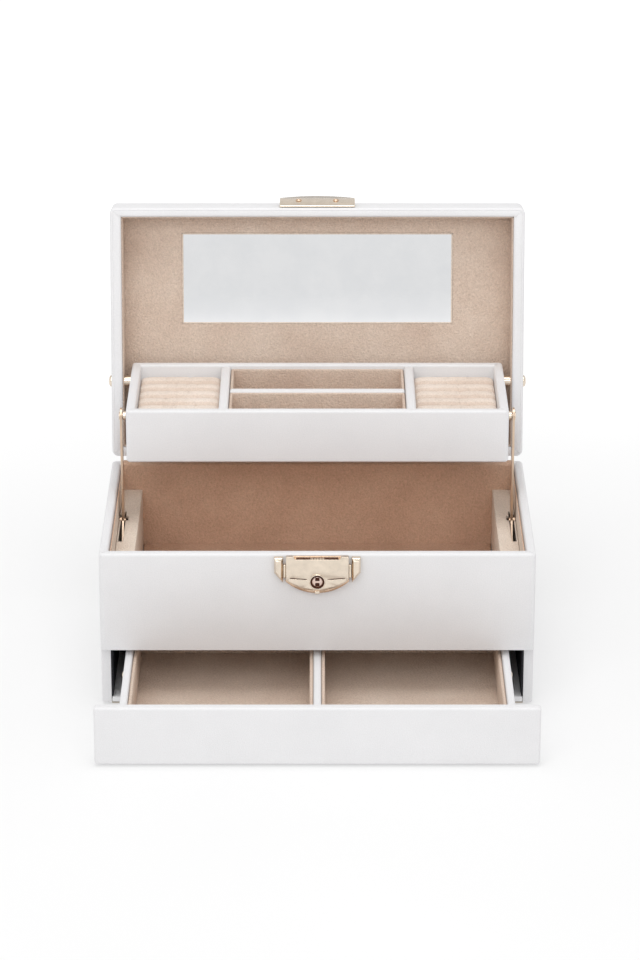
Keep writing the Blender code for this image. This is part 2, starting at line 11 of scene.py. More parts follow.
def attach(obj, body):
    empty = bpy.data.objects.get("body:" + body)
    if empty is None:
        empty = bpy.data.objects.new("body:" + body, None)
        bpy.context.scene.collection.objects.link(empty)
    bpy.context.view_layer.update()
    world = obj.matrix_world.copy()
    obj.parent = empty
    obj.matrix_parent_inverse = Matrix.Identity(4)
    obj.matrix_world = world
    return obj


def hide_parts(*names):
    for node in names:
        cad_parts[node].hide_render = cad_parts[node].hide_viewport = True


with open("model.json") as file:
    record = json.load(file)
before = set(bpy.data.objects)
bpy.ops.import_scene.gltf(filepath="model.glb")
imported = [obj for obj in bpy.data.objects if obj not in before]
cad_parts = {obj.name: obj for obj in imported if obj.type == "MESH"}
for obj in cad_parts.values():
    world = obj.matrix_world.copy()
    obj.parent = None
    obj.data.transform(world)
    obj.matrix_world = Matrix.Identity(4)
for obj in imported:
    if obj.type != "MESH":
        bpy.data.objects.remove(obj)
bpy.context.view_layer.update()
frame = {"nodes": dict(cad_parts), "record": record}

MM = 0.001
ROLLS = 6  # on each ring pad
ROLL_STEPS = 12  # round each one, from crease to crease
ROLL_CREASE_SHADE = (0, 1, 2, 3, ROLL_STEPS - 1)  # steps with the darker velvet: painted shade in the creases
ROLL_DEEP = 6.6  # from its top to its crease, mm
ROLL_SWELL = 0.35  # the most that air pressure moves a point of it, mm
ARM_FACE_X = 107.5  # outer face of the lift arms
SKIN = 1.6  # suede glued over card inside the tray and the drawer, mm
HALF_W = 115.0
HALF_D = 70.0
RIM_Z = 89.0
BOARD = 5.0


# ---------------------------------------------------------------- frame of the lid

def joint(name):
    return next(j for j in frame["record"]["behaviour"]["joints"] if j["name"] == name)


def lid_matrix():
    """From the closed lid's place to where the open lid stands."""
    hinge = joint("lid_hinge")
    at = Matrix.Translation(Vector(hinge["pos_m"]))
    swing = Matrix.Rotation(-math.radians(hinge["range_deg"][1]), 4, "X")
    return at @ swing @ at.inverted()


LID = lid_matrix()
STILL = Matrix()


def span(node, place=STILL):
    """Lowest and highest corner of a CAD node in mm, in the frame that place leads out of."""
    back = place.inverted()
    points = [back @ v.co for v in frame["nodes"][node].data.vertices]
    low = Vector(min(p[i] for p in points) for i in range(3))
    high = Vector(max(p[i] for p in points) for i in range(3))
    return low / MM, high / MM


# ---------------------------------------------------------------- materials

class Nodes:
    """Short names for building one material's nodes."""

    def __init__(self, name):
        self.material = bpy.data.materials.new(name)
        self.material.use_nodes = True
        self.tree = self.material.node_tree
        self.shader = self.tree.nodes["Principled BSDF"]
        self.place = self.add("ShaderNodeTexCoord").outputs["Object"]

    def add(self, kind, **settings):
        node = self.tree.nodes.new(kind)
        for key, value in settings.items():
            setattr(node, key, value)
        return node

    def link(self, source, target):
        self.tree.links.new(source, target)

    def noise(self, scale, detail=3.0, roughness=0.6, stretch=None):
        node = self.add("ShaderNodeTexNoise")
        node.inputs["Scale"].default_value = scale
        node.inputs["Detail"].default_value = detail
        node.inputs["Roughness"].default_value = roughness
        source = self.place
        if stretch:
            mapping = self.add("ShaderNodeMapping")
            mapping.inputs["Scale"].default_value = stretch
            self.link(source, mapping.inputs["Vector"])
            source = mapping.outputs["Vector"]
        self.link(source, node.inputs["Vector"])
        return node.outputs["Fac"]

    def cells(self, scale, feature="DISTANCE_TO_EDGE"):
        node = self.add("ShaderNodeTexVoronoi", feature=feature)
        node.inputs["Scale"].default_value = scale
        self.link(self.place, node.inputs["Vector"])
        return node.outputs["Distance"]

    def ramp(self, source, stops):
        node = self.add("ShaderNodeValToRGB")
        ramp = node.color_ramp
        while len(ramp.elements) < len(stops):
            ramp.elements.new(0.5)
        for element, (at, color) in zip(ramp.elements, stops):
            element.position = at
            element.color = (*color, 1.0)
        self.link(source, node.inputs["Fac"])
        return node.outputs["Color"]

    def mix(self, first, second, factor, blend="MIX"):
        node = self.add("ShaderNodeMix", data_type="RGBA", blend_type=blend)
        node.inputs["Factor"].default_value = factor
        self.link(first, node.inputs["A"])
        self.link(second, node.inputs["B"])
        return node.outputs["Result"]

    def span(self, source, low, high):
        node = self.add("ShaderNodeMapRange")
        node.inputs["To Min"].default_value = low
        node.inputs["To Max"].default_value = high
        self.link(source, node.inputs["Value"])
        return node.outputs["Result"]

    def bump(self, heights):
        """heights: (height output, strength, distance in metres), chained."""
        normal = None
        for height, strength, distance in heights:
            node = self.add("ShaderNodeBump")
            node.inputs["Strength"].default_value = strength
            node.inputs["Distance"].default_value = distance
            self.link(height, node.inputs["Height"])
            if normal:
                self.link(normal, node.inputs["Normal"])
            normal = node.outputs["Normal"]
        self.link(normal, self.shader.inputs["Normal"])

    def set(self, **values):
        for key, value in values.items():
            self.shader.inputs[key.replace("_", " ")].default_value = value


def leatherette(name, light, dark):
    """Fine-grained coated fabric: small pebbles, faint broad waves, a slight change of tone."""
    n = Nodes(name)
    tone = n.noise(38, 4, 0.62)
    pebble = n.cells(1150)
    speck = n.noise(1500, 2)
    color = n.mix(
        n.ramp(tone, [(0.3, dark), (0.7, light)]), n.ramp(
            speck, [(0.35, (0.93, 0.93, 0.93)), (0.65, (1, 1, 1))],
        ),
        0.6, "MULTIPLY",
    )
    n.link(color, n.shader.inputs["Base Color"])
    n.link(n.span(n.noise(260, 3), 0.38, 0.56), n.shader.inputs["Roughness"])
    n.bump([(n.noise(22, 2), 0.25, 0.0009), (pebble, 0.34, 0.00018), (speck, 0.18, 0.00012)])
    n.set(Specular_IOR_Level=0.42, Sheen_Weight=0.08, Sheen_Roughness=0.5)
    return n.material


def suede(name, dark, middle, light, sheen=0.35, nap=0.32, grain=1.0):
    """Brushed short-nap fabric: fibres, specks and cloudy stroke marks."""
    n = Nodes(name)
    cloud = n.noise(34, 5, 0.6)
    fibre = n.noise(900, 4, 0.75, (1.0, 1.6, 0.8))
    speck = n.noise(2100, 2, 0.5)
    crinkle = n.noise(1000, 2, 0.55)
    base = n.ramp(cloud, [(0.28, dark), (0.5, middle), (0.74, light)])
    color = n.mix(
        base, n.ramp(fibre, [(0.34, (0.80, 0.78, 0.76)), (0.64, (1.06, 1.05, 1.04))]), 0.6, "MULTIPLY",
    )
    color = n.mix(color, n.ramp(speck, [(0.36, (0.8, 0.79, 0.78)), (0.6, (1, 1, 1))]), 0.5, "MULTIPLY")
    relief = n.ramp(crinkle, [(0.36, (0.86, 0.85, 0.84)), (0.64, (1.12, 1.12, 1.12))])
    color = n.mix(color, relief, 0.45 * grain, "MULTIPLY")
    n.link(color, n.shader.inputs["Base Color"])
    n.bump(
        [
            (cloud, 0.2, 0.0008), (crinkle, nap * 2.4 * grain, 0.0009),
            (fibre, nap, 0.0004), (speck, nap, 0.0002),
        ],
    )
    n.set(Roughness=0.96, Specular_IOR_Level=0.15, Sheen_Weight=sheen, Sheen_Roughness=0.42)
    n.shader.inputs["Sheen Tint"].default_value = (*light, 1.0)
    return n.material


def metal(name, color, roughness, scratches=0.05, spread=1.0):
    """Plated, polished metal with faint hairlines and a little cloudiness."""
    n = Nodes(name)
    cloud = n.noise(160, 3)
    hair = n.noise(700, 2, 0.5, (0.12, 1.0, 1.0))
    dull = tuple(c * 0.86 for c in color)
    n.link(n.ramp(cloud, [(0.3, dull), (0.7, color)]), n.shader.inputs["Base Color"])
    n.link(
        n.span(hair, roughness * (1 - 0.3 * spread), roughness * (1 + 0.5 * spread)),
        n.shader.inputs["Roughness"],
    )
    n.bump([(hair, scratches, 0.00005), (cloud, 0.012, 0.0002)])
    n.set(Metallic=1.0)
    return n.material


def mirror_glass():
    n = Nodes("mirror_silver")
    haze = n.noise(55, 4, 0.65)
    n.link(
        n.ramp(haze, [(0.35, (0.94, 0.95, 0.965)), (0.65, (0.975, 0.98, 0.99))]),
        n.shader.inputs["Base Color"],
    )
    n.link(n.span(haze, 0.06, 0.15), n.shader.inputs["Roughness"])
    n.set(Metallic=1.0)
    return n.material


def fibrous_matte(name, color, roughness=0.85):
    """A matte colour with fibres: felt over board, and the dark sheets of painted shade."""
    n = Nodes(name)
    fibre = n.noise(1300, 4, 0.7)
    low = tuple(c * 0.75 for c in color)
    n.link(n.ramp(fibre, [(0.35, low), (0.65, color)]), n.shader.inputs["Base Color"])
    n.bump([(fibre, 0.3, 0.0002)])
    n.set(Roughness=roughness, Specular_IOR_Level=0.2)
    return n.material


WHITE = leatherette("white_leatherette", (0.785, 0.78, 0.788), (0.76, 0.755, 0.763))
TAN = suede("tan_suede", (0.66, 0.52, 0.43), (0.71, 0.575, 0.48), (0.76, 0.635, 0.54))
# A darker, redder copy of tan_suede, the same fabric: painted shade for the compartment under the tray.
TAN_SUEDE_SHADED = suede("tan_suede_painted_shade", (0.63, 0.42, 0.30), (0.69, 0.465, 0.34), (0.74, 0.52, 0.385))
# A paler copy of tan_suede, the same fabric: painted light for faces the lamps reach.
TAN_SUEDE_LIT = suede("tan_suede_painted_light", (0.78, 0.665, 0.565), (0.83, 0.72, 0.62), (0.87, 0.77, 0.67))
CREAM = suede("cream_velvet", (0.76, 0.655, 0.575), (0.81, 0.71, 0.63), (0.85, 0.76, 0.69), 0.05, 0.12, 0.0)
# A darker copy of cream_velvet: painted shade down the rolls' creases.
CREASE_SHADE = suede("velvet_painted_crease_shade", (0.715, 0.59, 0.505), (0.76, 0.64, 0.55), (0.805, 0.69, 0.605), 0.0, 0.1, 0.0)
GOLD = metal("pale_gold", (0.86, 0.745, 0.615), 0.19)
# A darker, browner copy of the gold for the lift arms: painted shade of the slot they move in.
ARM_GOLD_SHADED = metal("arm_gold_painted_shade", (0.74, 0.57, 0.43), 0.28, 0.01, 0.3)
# A darker, rosier copy of the gold: painted shade on edges, recessed plates, pin heads and screws.
EDGE_GOLD_SHADE = metal("gold_painted_edge_shade", (0.80, 0.59, 0.43), 0.22)
STEEL_PINK = metal("barrel_face", (0.86, 0.68, 0.60), 0.3)
# Near-black brown: painted shade in the lock's grooves, slot and keyway.
RECESS_SHADE = fibrous_matte("painted_recess_shade", (0.075, 0.024, 0.014), 0.8)
# Near-black: painted shade in the drawer bay.
BAY_SHADE = fibrous_matte("bay_painted_shade", (0.022, 0.022, 0.027), 0.7)
FELT = fibrous_matte("base_felt", (0.55, 0.49, 0.42), 0.95)
MIRROR = mirror_glass()


# ---------------------------------------------------------------- mesh tools (mm in, metres out)

def piece(name, mesh, body, material, nodes=(), place=STILL, sharp=40.0):
    """Puts a mesh made in mm into the scene and ties it to a body."""
    mesh.transform(place @ Matrix.Scale(MM, 4))
    for one in material if isinstance(material, (list, tuple)) else [material]:
        mesh.materials.append(one)
    mesh.shade_smooth()
    mesh.set_sharp_from_angle(angle=math.radians(sharp))
    made = bpy.data.objects.new(name, mesh)
    bpy.context.scene.collection.objects.link(made)
    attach(made, body)
    if nodes:
        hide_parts(*nodes)
    return made


def to_mesh(name, bm):
    bmesh.ops.recalc_face_normals(bm, faces=bm.faces)
    mesh = bpy.data.meshes.new(name)
    bm.to_mesh(mesh)
    bm.free()
    return mesh


def stations(low, high, radius, cell, arc=4):
    """Places along one side of a rounded box: fine at the two rounded ends, even between."""
    ends = [radius - radius * math.tan(math.pi / 4 * (1 - i / arc)) for i in range(arc + 1)]
    inner = high - low - 2 * radius
    count = max(1, round(inner / cell))
    middle = [radius + inner * i / count for i in range(1, count)]
    near = [low + e for e in ends]
    far = [high - e for e in reversed(ends)]
    return near + [low + m for m in middle] + far


def rounded_box(name, low, high, radius=1.0, cell=8.0, shape=None):
    """A box with round edges on an even grid; shape(point, outward) may move each point."""
    low, high = Vector(low), Vector(high)
    radius = min([radius] + [(high[i] - low[i]) / 2 * 0.98 for i in range(3)])
    lines = [stations(low[i], high[i], radius, cell) for i in range(3)]
    bm = bmesh.new()
    made = {}

    def vertex(key):
        if key not in made:
            point = Vector(lines[axis][key[axis]] for axis in range(3))
            core = Vector(min(max(point[i], low[i] + radius), high[i] - radius) for i in range(3))
            away = point - core
            if away.length > 1e-9:
                point = core + away.normalized() * radius
            if shape:
                point = shape(point, away.normalized())
            made[key] = bm.verts.new(point)
        return made[key]

    for axis in range(3):
        u, v = (axis + 1) % 3, (axis + 2) % 3
        for end in (0, len(lines[axis]) - 1):
            for i in range(len(lines[u]) - 1):
                for j in range(len(lines[v]) - 1):
                    keys = []
                    for di, dj in ((0, 0), (1, 0), (1, 1), (0, 1)):
                        key = [0, 0, 0]
                        key[axis], key[u], key[v] = end, i + di, j + dj
                        keys.append(tuple(key))
                    bm.faces.new([vertex(k) for k in keys])
    return to_mesh(name, bm)


def board(name, node, body, material, radius=1.0, place=STILL, cell=8.0, grow=(0, 0, 0), shape=None):
    """A rounded board in the space of a CAD board."""
    low, high = span(node, place)
    grow = Vector(grow)
    mesh = rounded_box(name, low - grow, high + grow, radius, cell, shape)
    return piece(name, mesh, body, material, [node], place)


def round_ring(half_x, half_y, corner, inset, z, centre=(0.0, 0.0), arc=6, runs=(12, 8)):
    """One ring of a rounded rectangle, moved in by inset."""
    corner = max(corner - inset, 0.05)
    x, y = half_x - inset - corner, half_y - inset - corner
    points = []
    corners = [((1, 1), 0), ((-1, 1), 90), ((-1, -1), 180), ((1, -1), 270)]
    for index, ((sx, sy), start) in enumerate(corners):
        for i in range(arc + 1):
            a = math.radians(start + 90 * i / arc)
            points.append((sx * x + corner * math.cos(a), sy * y + corner * math.sin(a)))
        (nx, ny), after = corners[(index + 1) % 4]
        a = math.radians(after)
        target = (nx * x + corner * math.cos(a), ny * y + corner * math.sin(a))
        begin = points[-1]
        count = runs[0] if index % 2 == 0 else runs[1]
        for i in range(1, count):
            t = i / count
            points.append((begin[0] + (target[0] - begin[0]) * t, begin[1] + (target[1] - begin[1]) * t))
    return [Vector((centre[0] + px, centre[1] + py, z)) for px, py in points]


def swept_ring(name, half_x, half_y, corner, profile, centre=(0.0, 0.0), closed=True, caps=False, wave=None):
    """A wall all the way round: profile is (inset, z) pairs; caps fills the first and last ring."""
    bm = bmesh.new()
    rings = []
    for inset, z in profile:
        ring = []
        for point in round_ring(half_x, half_y, corner, inset, z, centre):
            ring.append(bm.verts.new(wave(point) if wave else point))
        rings.append(ring)
    pairs = list(zip(rings, rings[1:]))
    if closed:
        pairs.append((rings[-1], rings[0]))
    count = len(rings[0])
    for first, second in pairs:
        for i in range(count):
            j = (i + 1) % count
            bm.faces.new((first[i], first[j], second[j], second[i]))
    if caps:
        bm.faces.new(rings[0])
        bm.faces.new(rings[-1])
    return to_mesh(name, bm)


def rounding(inset, z, radius, start, end, steps=4):
    """Arc of a wall's profile: centre (inset, z), angles in degrees from outwards (0) to up (90)."""
    points = []
    for i in range(steps + 1):
        a = math.radians(start + (end - start) * i / steps)
        points.append((inset - radius * math.cos(a), z + radius * math.sin(a)))
    return points


def lathe(name, profile, axis, centre, sides=40):
    """A turned piece; profile is (along, radius)."""
    bm = bmesh.new()
    rings = []
    for along, radius in profile:
        ring = []
        for i in range(sides):
            a = 2 * math.pi * i / sides
            u, v = centre[0] + radius * math.cos(a), centre[1] + radius * math.sin(a)
            ring.append(bm.verts.new((along, u, v) if axis == "X" else (u, along, v)))
        rings.append(ring)
    for first, second in zip(rings, rings[1:]):
        for i in range(sides):
            j = (i + 1) % sides
            bm.faces.new((first[i], first[j], second[j], second[i]))
    bm.faces.new(rings[0])
    bm.faces.new(rings[-1])
    return to_mesh(name, bm)


def dome(face, toward, radius, rise, steps=8):
    """Profile of a domed rivet head with a small rolled rim."""
    points = [(face, radius), (face + toward * rise * 0.22, radius)]
    for i in range(1, steps + 1):
        a = math.pi / 2 * i / steps
        points.append((face + toward * rise * (0.22 + 0.78 * math.sin(a)), max(radius * math.cos(a), 0.12)))
    return points


def modified(mesh, *changes):
    """The mesh after modifiers: each change is (type, {setting: value})."""
    scratch = bpy.data.objects.new("scratch", mesh)
    bpy.context.scene.collection.objects.link(scratch)
    for kind, settings in changes:
        modifier = scratch.modifiers.new(kind, kind)
        for key, value in settings.items():
            setattr(modifier, key, value)
    graph = bpy.context.evaluated_depsgraph_get()
    result = bpy.data.meshes.new_from_object(scratch.evaluated_get(graph))
    result.name = mesh.name
    bpy.data.objects.remove(scratch)
    return result


def hidden(name, mesh):
    """A cutter for modified(); it is removed by clear_cutters()."""
    made = bpy.data.objects.new(name, mesh)
    bpy.context.scene.collection.objects.link(made)
    CUTTERS.append(made)
    return made


CUTTERS = []


def clear_cutters():
    for one in CUTTERS:
        bpy.data.objects.remove(one)
    CUTTERS.clear()


def cut(mesh, *tools):
    changes = [
        ("BOOLEAN", {"operation": "DIFFERENCE", "object": hidden(tool.name, tool), "solver": "EXACT"})
        for tool in tools
    ]
    result = modified(mesh, *changes)
    clear_cutters()
    return result


def softened(name, node, width, place=STILL, segments=3):
    """The CAD node's own shape with its flat faces made whole and its edges rounded, in mm."""
    bm = bmesh.new()
    bm.from_mesh(frame["nodes"][node].data)
    bm.transform(Matrix.Scale(1 / MM, 4) @ place.inverted())
    bmesh.ops.remove_doubles(bm, verts=bm.verts, dist=0.01)
    bmesh.ops.dissolve_limit(bm, angle_limit=math.radians(1.0), verts=bm.verts, edges=bm.edges)
    mesh = to_mesh(name, bm)
    return modified(mesh, ("BEVEL", {
        "width": width, "segments": segments, "limit_method": "ANGLE", "angle_limit": math.radians(28),
        "use_clamp_overlap": True, "harden_normals": False,
    }))


def extruded(name, outline, y0, y1):
    """An outline in X and Z, from y0 to y1."""
    bm = bmesh.new()
    rings = [[bm.verts.new((x, y, z)) for x, z in outline] for y in (y0, y1)]
    count = len(outline)
    for i in range(count):
        j = (i + 1) % count
        bm.faces.new((rings[0][i], rings[0][j], rings[1][j], rings[1][i]))
    bm.faces.new(rings[0])
    bm.faces.new(rings[1])
    return to_mesh(name, bm)


def crowned(low, high, puff, fade=6.0):
    """A padded face: points swell along their outward direction, most in the middle."""
    low, high = Vector(low), Vector(high)

    def shape(point, outward):
        edge = [min(point[i] - low[i], high[i] - point[i]) for i in range(3)]
        flat = max(range(3), key=lambda i: abs(outward[i]))
        reach = min(edge[i] for i in range(3) if i != flat)
        swell = puff * (1 - math.exp(-max(reach, 0) / fade))
        ripple = noise.noise(point / 17.0) * puff * 0.4
        return point + outward * (swell + ripple * (1 - math.exp(-max(reach, 0) / 3)))

    return shape


# ---------------------------------------------------------------- case

def groove_cutters(name, half_x, half_y, inner, z, toward, centre_y=0.0, depth=0.3, width=0.24):
    """Four thin cutters for the folds where the covering meets at the corners of a rim."""
    tools = []
    for sx in (-1, 1):
        for sy in (-1, 1):
            bm = bmesh.new()
            bmesh.ops.create_cube(bm, size=1.0)
            bmesh.ops.scale(bm, vec=(width, inner * 2.6, 2 * depth), verts=bm.verts)
            turn = Matrix.Rotation(math.radians(-45 * sx * sy), 4, "Z")
            place = Vector(
                (sx * (half_x - inner * 0.55), centre_y + sy * (half_y - inner * 0.55), z + toward * 0.02),
            )
            bm.transform(Matrix.Translation(place) @ turn)
            tools.append(to_mesh(f"{name}_{sx}_{sy}", bm))
    return tools


def box_mesh(name, low, high):
    low, high = Vector(low), Vector(high)
    bm = bmesh.new()
    bmesh.ops.create_cube(bm, size=1.0)
    bmesh.ops.scale(bm, vec=high - low, verts=bm.verts)
    bm.transform(Matrix.Translation((low + high) / 2))
    return to_mesh(name, bm)


def rod_mesh(name, x0, x1, centre, radius, sides=32):
    return lathe(name, [(x0, radius), (x1, radius)], "X", centre, sides)


def knuckle_cutters():
    """Room for the two hinge knuckles, as in the frame."""
    tools = []
    for side in ("left", "right"):
        low, high = span(f"hinge_pin_{side}")
        middle = ((low.y + high.y) / 2, (low.z + high.z) / 2)
        tools.append(rod_mesh(f"knuckle_{side}", low.x - 0.5, high.x + 0.5, middle, 2.8))
    return tools


def make_case_shell():
    front_low, front_high = span("front_panel")
    rim = 1.5
    low_z = span("side_panel_left")[0].z
    profile = [(0.0, low_z + 0.7)]
    profile += rounding(rim, RIM_Z - rim, rim, 0, 90)
    profile += rounding(BOARD - rim, RIM_Z - rim, rim, 90, 180)
    profile += [(BOARD, low_z), (0.7, low_z)]
    extra = front_high.y + HALF_D - BOARD

    def thicker_front(p):
        share = min(max((p.y + HALF_D - 1.6) / (BOARD - 2.6), 0.0), 1.0)
        if p.y < -HALF_D + BOARD + 0.1 and abs(p.x) < HALF_W - 2.0:
            p = p + Vector((0, extra * share, 0))
        return p

    mesh = swept_ring("case_shell", HALF_W, HALF_D, 2.6, profile, wave=thicker_front)
    side_front = span("side_panel_left")[0].y
    mouth = box_mesh("bay_mouth", (-HALF_W - 5, -HALF_D - 5, -5), (HALF_W + 5, side_front, front_low.z))
    tools = [mouth] + knuckle_cutters() + groove_cutters("rim_fold", HALF_W, HALF_D, BOARD, RIM_Z, 1)
    mesh = cut(mesh, *tools)
    mesh = modified(mesh, ("BEVEL", {
        "width": 0.55, "segments": 3, "limit_method": "ANGLE", "angle_limit": math.radians(50),
        "use_clamp_overlap": True,
    }))
    piece("case_shell", mesh, "case", WHITE,
          ("side_panel_left", "side_panel_right", "back_panel", "front_panel"))


def make_case():
    make_case_shell()
    board("foot_felt", "base_felt", "case", FELT, 0.45)
    board("bottom_board", "base_board", "case", WHITE, 0.6)
    piece(
        "bay_ceiling", softened("bay_ceiling", "shelf_board", 0.4), "case", WHITE,
        ["shelf_board"],
    )
    low, high = span("compartment_floor_pad")
    mesh = rounded_box("floor_pad", low, high, 0.7, 3.0, crowned(low, high, 0.25))
    # Compartment floor in the darker suede copy: painted shade.
    pad = piece("floor_pad", mesh, "case", TAN_SUEDE_SHADED, ["compartment_floor_pad"])
    low, high = span("compartment_lining")
    thick = 0.75
    profile = [(0.0, low.z)] + rounding(thick / 2, high.z - thick / 2, thick / 2, 0, 180) + [(thick, low.z)]
    centre = (0.0, (low.y + high.y) / 2)
    mesh = swept_ring("wall_lining", high.x, (high.y - low.y) / 2, 0.8, profile, centre)
    piece("wall_lining", mesh, "case", (TAN_SUEDE_SHADED, TAN_SUEDE_LIT), ["compartment_lining"])
    # Faces pointing along X take the paler suede copy and the other faces the darker one: painted light and
    # painted shade.
    for face in mesh.polygons:
        face.material_index = 1 if abs(face.normal.x) > 0.7 else 0
    make_rim_flap(high)
    for side, sign in (("left", -1), ("right", 1)):
        mesh = softened(f"riser_cover_{side}", f"riser_{side}", 0.55)
        # Riser covers in the paler suede copy: painted light.
        piece(f"riser_cover_{side}", mesh, "case", TAN_SUEDE_LIT, [f"riser_{side}"])
        make_pivot_pin(side, sign)
        make_bay_shade_sheet(side, sign)
        make_hinge(side)


def make_rim_flap(lining_high):
    """Suede that covers the back wall and folds over its rim, trimmed round the hinges."""
    reach = HALF_W - BOARD - 1.0
    front = lining_high.y - 1.15
    foot = span("compartment_floor_pad")[1].z - 0.4
    top = RIM_Z + 0.32
    outline = [(front, foot), (front, top - 1.5)]
    for i in range(1, 7):
        a = math.radians(15 * i)
        outline.append((front + 1.5 - 1.5 * math.cos(a), top - 1.5 + 1.5 * math.sin(a)))
    outline += [
        (HALF_D - 0.6, top), (HALF_D - 0.6, top - 0.6), (front + 1.6, top - 0.6), (front + 0.6, top - 2.0),
        (front + 0.6, foot),
    ]
    mesh = extruded("rim_flap", outline, -reach, reach)
    mesh.transform(Matrix(((0, 1, 0, 0), (1, 0, 0, 0), (0, 0, 1, 0), (0, 0, 0, 1))))
    mesh.flip_normals()
    # Back wall flap in the darker suede copy: painted shade.
    piece("rim_flap", cut(mesh, *knuckle_cutters()), "case", TAN_SUEDE_SHADED)


def make_bay_shade_sheet(side, sign):
    """A near-black sheet on the drawer bay's wall: painted shade deep in the bay."""
    wall = HALF_W - BOARD - 0.15
    y0, y1 = span("base_board")[0].y + 0.2, span("base_board")[1].y
    z0, z1 = span("base_board")[1].z + 0.15, span("shelf_board")[0].z - 0.15
    xs = sorted((sign * wall, sign * (wall - 0.9)))
    mesh = rounded_box(f"bay_shade_sheet_{side}", (xs[0], y0, z0), (xs[1], y1, z1), 0.3, 12)
    piece(f"bay_shade_sheet_{side}", mesh, "case", BAY_SHADE)


def make_pivot_pin(side, sign):
    low, high = span(f"arm_pivot_pin_{side}")
    centre = ((low.y + high.y) / 2, (low.z + high.z) / 2)
    inner = min(abs(low.x), abs(high.x))
    outer = max(abs(low.x), abs(high.x))
    profile = [
        (sign * outer, 1.7), (sign * (outer - 1.1), 1.7), (sign * (outer - 1.1), 1.45),
        (sign * (inner + 1.1), 1.45),
    ]
    profile += dome(sign * (inner + 1.1), -sign, 1.55, 0.6)
    mesh = lathe(f"arm_pivot_{side}", profile, "X", centre)
    # Pivot pin in the darker gold copy: painted shade on its head.
    piece(f"arm_pivot_{side}", mesh, "case", EDGE_GOLD_SHADE, [f"arm_pivot_pin_{side}"])


def make_hinge(side):
    for node, body, place in (
        (f"hinge_case_leaf_{side}", "case", STILL), (f"hinge_lid_leaf_{side}", "lid", LID),
    ):
        mesh = softened(f"{node}_plate", node, 0.25, place)
        piece(f"{node}_plate", mesh, body, GOLD, [node], place, sharp=18)
        low, high = span(node, place)
        for index, x in enumerate((low.x + 5, (low.x + high.x) / 2, high.x - 5)):
            z = low.z + 4.5 if body == "case" else high.z - 4.5
            face = HALF_D + 1.25
            mesh = lathe(f"{node}_screw_{index}", dome(face, 1, 1.5, 0.55), "Y", (x, z), 24)
            piece(f"{node}_screw_{index}", mesh, body, GOLD, (), place)
    low, high = span(f"hinge_pin_{side}")
    profile = [(low.x, 0.5), (low.x + 0.4, 0.9), (high.x - 0.4, 0.9), (high.x, 0.5)]
    mesh = lathe(f"hinge_rod_{side}", profile, "X", ((low.y + high.y) / 2, (low.z + high.z) / 2), 24)
    piece(f"hinge_rod_{side}", mesh, "case", GOLD, [f"hinge_pin_{side}"])


# ---------------------------------------------------------------- lock

def arched(width, top, side_tall, tall, steps=28):
    """A flat top, straight sides and an arc below, as X and Z."""
    half = width / 2
    sagitta = tall - side_tall
    radius = (half * half + sagitta * sagitta) / 2 / sagitta
    spread = math.asin(half / radius)
    points = []
    for i in range(steps + 1):
        a = -spread + 2 * spread * i / steps
        points.append((radius * math.sin(a), top - tall + radius * (1 - math.cos(a))))
    return points


def bevelled(mesh, width, segments=3, angle=30):
    return modified(mesh, ("BEVEL", {
        "width": width, "segments": segments, "limit_method": "ANGLE", "angle_limit": math.radians(angle),
        "use_clamp_overlap": True,
    }))


def arc_strip(name, width, drop, z, half_width, y0, y1, start=-1.0, end=1.0, steps=20):
    """A thin curved bar that sags by drop over the given width, from start to end as shares of half of it."""
    upper, lower = [], []
    for i in range(steps + 1):
        t = start + (end - start) * i / steps
        x = t * width / 2
        mid = z - drop * (1 - t * t)
        upper.append((x, mid + half_width))
        lower.append((x, mid - half_width))
    return extruded(name, upper + lower[::-1], y0, y1)


